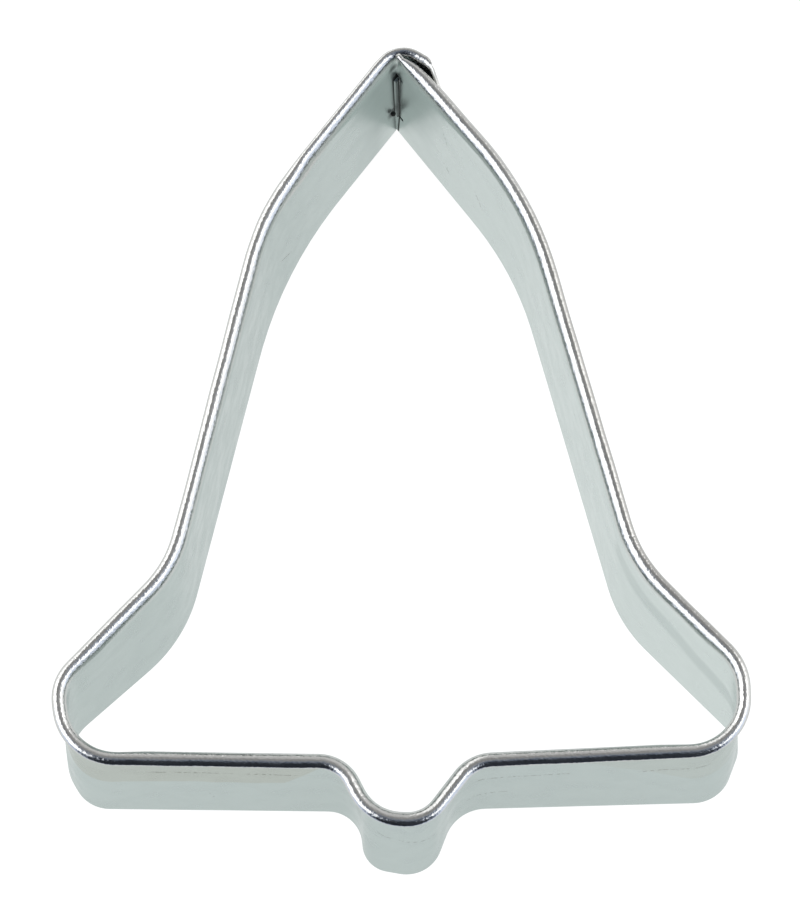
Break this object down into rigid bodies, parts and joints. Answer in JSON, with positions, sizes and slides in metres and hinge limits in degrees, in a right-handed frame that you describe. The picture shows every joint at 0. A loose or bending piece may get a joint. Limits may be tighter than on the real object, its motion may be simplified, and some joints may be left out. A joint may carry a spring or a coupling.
{
  "type": "cookie cutter",
  "caption": "Bell-shaped sheet-metal cookie cutter with a plain cutting edge below, a rolled rim above and a lapped, spot-welded seam at the apex.",
  "frame": {"origin": "centre of the bell's outline, on the plane of the cutting edge", "axes": "+Z from the cutting edge to the rolled rim, +Y from the clapper to the apex, +X to the bell's right"},
  "size_m": [0.0636, 0.0748, 0.02],
  "materials": {
    "band": "bright cold-rolled sheet, semi-gloss, fine rolling grain",
    "weld": "dull pressed spot weld",
    "burnt_weld": "dark burnt bead of weld"
  },
  "bodies": {
    "root": {"cutter_band": "band", "spot_weld_lower": "weld", "spot_weld_upper": "weld", "tack_weld": "burnt_weld"}
  },
  "joints": []
}
